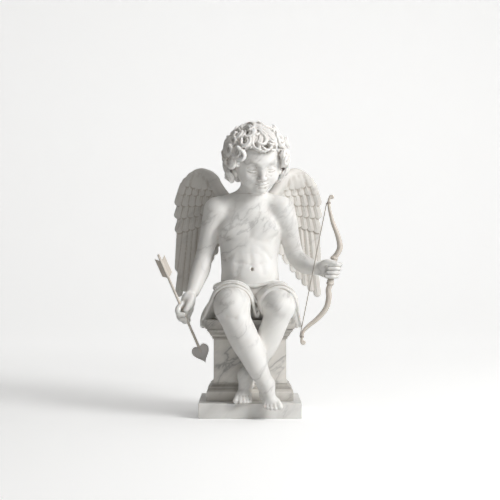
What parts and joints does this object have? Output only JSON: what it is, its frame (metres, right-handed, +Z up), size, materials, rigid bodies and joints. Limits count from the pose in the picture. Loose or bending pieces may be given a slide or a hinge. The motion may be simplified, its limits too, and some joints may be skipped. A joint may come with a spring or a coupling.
{
  "type": "cupid statue",
  "caption": "Marble statue of a winged cupid seated on a moulded pedestal, lap draped, with a bow in one hand and a heart-tipped arrow in the other, to stand on a shelf or plinth.",
  "frame": {"origin": "centre of the base slab's underside", "axes": "+Z up, +X to the viewer's right, +Y away from the viewer, so the figure faces -Y"},
  "size_m": [0.3876, 0.2301, 0.6128],
  "materials": {
    "base_slab": "honed white marble with grey veins",
    "pedestal": "honed white marble with grey veins",
    "cupid_figure": "satin white marble, faint grey veins",
    "bow": "matt carved marble, slightly toned",
    "bowstring": "matt toned thin rod",
    "arrow": "matt carved marble, slightly toned"
  },
  "bodies": {
    "root": {"base_slab": "base_slab", "pedestal": "pedestal", "cupid_figure": "cupid_figure", "bow": "bow", "bowstring": "bowstring", "arrow": "arrow"}
  },
  "joints": []
}
